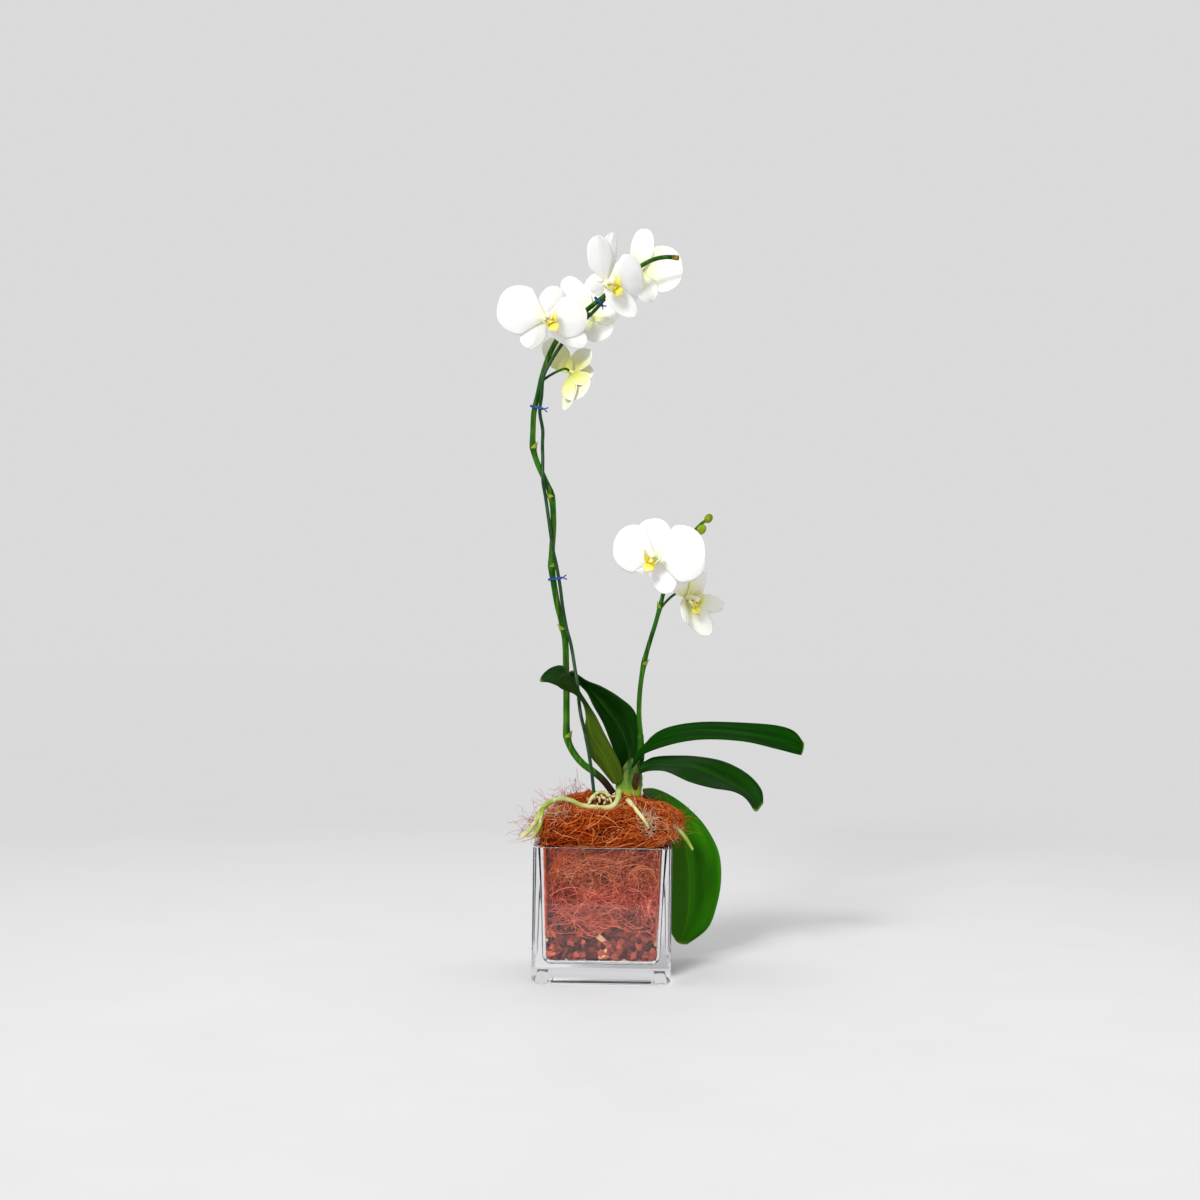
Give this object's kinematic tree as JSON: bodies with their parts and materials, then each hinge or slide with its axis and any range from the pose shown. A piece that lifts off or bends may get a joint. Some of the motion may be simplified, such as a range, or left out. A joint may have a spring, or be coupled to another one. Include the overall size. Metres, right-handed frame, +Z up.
{
  "type": "potted orchid",
  "caption": "Moth orchid with two flower spikes and strap leaves, planted in coir and bark in a square glass vase.",
  "frame": {"origin": "centre of the vase's flat bottom", "axes": "+Z up, -Y the front that the picture shows, +X to the right"},
  "size_m": [0.2775, 0.1421, 0.6644],
  "materials": {
    "vase_glass": "clear pressed glass",
    "bark": "rough reddish bark",
    "coir": "loose coconut fibre",
    "green_stem": "smooth green stem",
    "leaf": "waxy green leaf",
    "stake": "dark green coating",
    "tie": "blue plastic",
    "root": "pale velvety root",
    "petal": "soft white petal",
    "lip": "waxy yellow lip"
  },
  "bodies": {
    "root": {"glass_vase": "vase_glass", "bark_chips": "bark", "coir_fibre": "coir", "orchid_stem": "green_stem", "leaf_upright": "leaf", "leaf_folded": "leaf", "leaf_right_upper": "leaf", "leaf_right_middle": "leaf", "leaf_drooping": "leaf", "flower_spike_tall": "green_stem", "flower_spike_short": "green_stem", "support_stake": "stake", "tie_lower": "tie", "tie_middle": "tie", "tie_upper": "tie", "aerial_roots": "root", "root_silver": "root", "root_right": "root", "bloom_1_tepals": "petal", "bloom_2_tepals": "petal", "bloom_3_tepals": "petal", "bloom_4_tepals": "petal", "bloom_5_tepals": "petal", "bloom_6_tepals": "petal", "bloom_7_tepals": "petal", "bloom_1_lip": "lip", "bloom_2_lip": "lip", "bloom_3_lip": "lip", "bloom_4_lip": "lip", "bloom_5_lip": "lip", "bloom_6_lip": "lip", "bloom_7_lip": "lip"}
  },
  "joints": []
}
